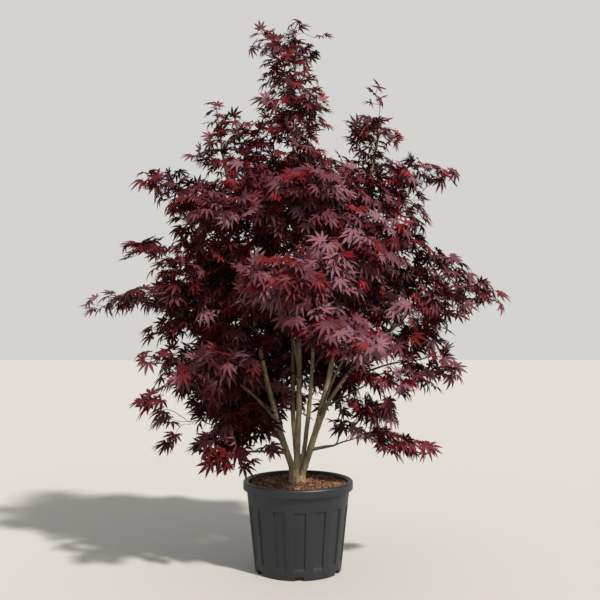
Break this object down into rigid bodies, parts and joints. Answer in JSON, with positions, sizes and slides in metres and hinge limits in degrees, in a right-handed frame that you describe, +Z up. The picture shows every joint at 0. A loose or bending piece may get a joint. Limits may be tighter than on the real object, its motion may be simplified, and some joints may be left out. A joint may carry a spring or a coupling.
{
  "type": "potted japanese maple",
  "caption": "Multi-stemmed japanese maple with an open, broadly conical crown of fine-lobed dark red leaves, growing in a ribbed round nursery pot that stands on its flat base.",
  "frame": {"origin": "on the ground, at the centre of the pot's flat underside", "axes": "+Z up along the tree, +X to the tree's right seen from its front, -Y towards the front"},
  "size_m": [1.5611, 1.096, 2.0488],
  "materials": {
    "pot": "matte charcoal moulded plastic",
    "soil": "coarse red-brown bark mulch over potting compost",
    "bark": "smooth olive-tan bark with fine upright striation",
    "foliage": "thin dark red to purple leaves with a faint sheen"
  },
  "bodies": {
    "root": {"pot": "pot", "soil": "soil", "back_bough": "bark", "back_left_bough": "bark", "back_right_bough": "bark", "back_stem": "bark", "front_high_bough": "bark", "front_left_bough": "bark", "front_low_bough": "bark", "inner_right_stem": "bark", "leader_stem": "bark", "left_far_bough": "bark", "left_high_bough": "bark", "left_low_bough": "bark", "left_lowest_bough": "bark", "left_middle_bough": "bark", "left_skirt_bough": "bark", "left_stem": "bark", "low_right_stem": "bark", "right_drooping_bough": "bark", "right_far_bough": "bark", "right_high_bough": "bark", "right_low_bough": "bark", "right_lowest_bough": "bark", "right_stem": "bark", "trunk": "bark", "apex_foliage": "foliage", "apex_left_foliage": "foliage", "back_foliage": "foliage", "back_left_foliage": "foliage", "back_low_foliage": "foliage", "back_right_foliage": "foliage", "back_upper_foliage": "foliage", "cone_foliage": "foliage", "front_high_foliage": "foliage", "front_left_foliage": "foliage", "front_low_foliage": "foliage", "left_far_foliage": "foliage", "left_heart_foliage": "foliage", "left_high_foliage": "foliage", "left_inner_foliage": "foliage", "left_low_foliage": "foliage", "left_lowest_foliage": "foliage", "left_middle_foliage": "foliage", "left_shoulder_foliage": "foliage", "left_skirt_foliage": "foliage", "left_under_foliage": "foliage", "left_waist_foliage": "foliage", "right_apex_foliage": "foliage", "right_drooping_foliage": "foliage", "right_far_foliage": "foliage", "right_heart_foliage": "foliage", "right_high_foliage": "foliage", "right_low_foliage": "foliage", "right_lower_foliage": "foliage", "right_lowest_foliage": "foliage", "right_middle_foliage": "foliage", "right_upper_foliage": "foliage", "upper_cone_foliage": "foliage", "upper_front_foliage": "foliage"}
  },
  "joints": []
}
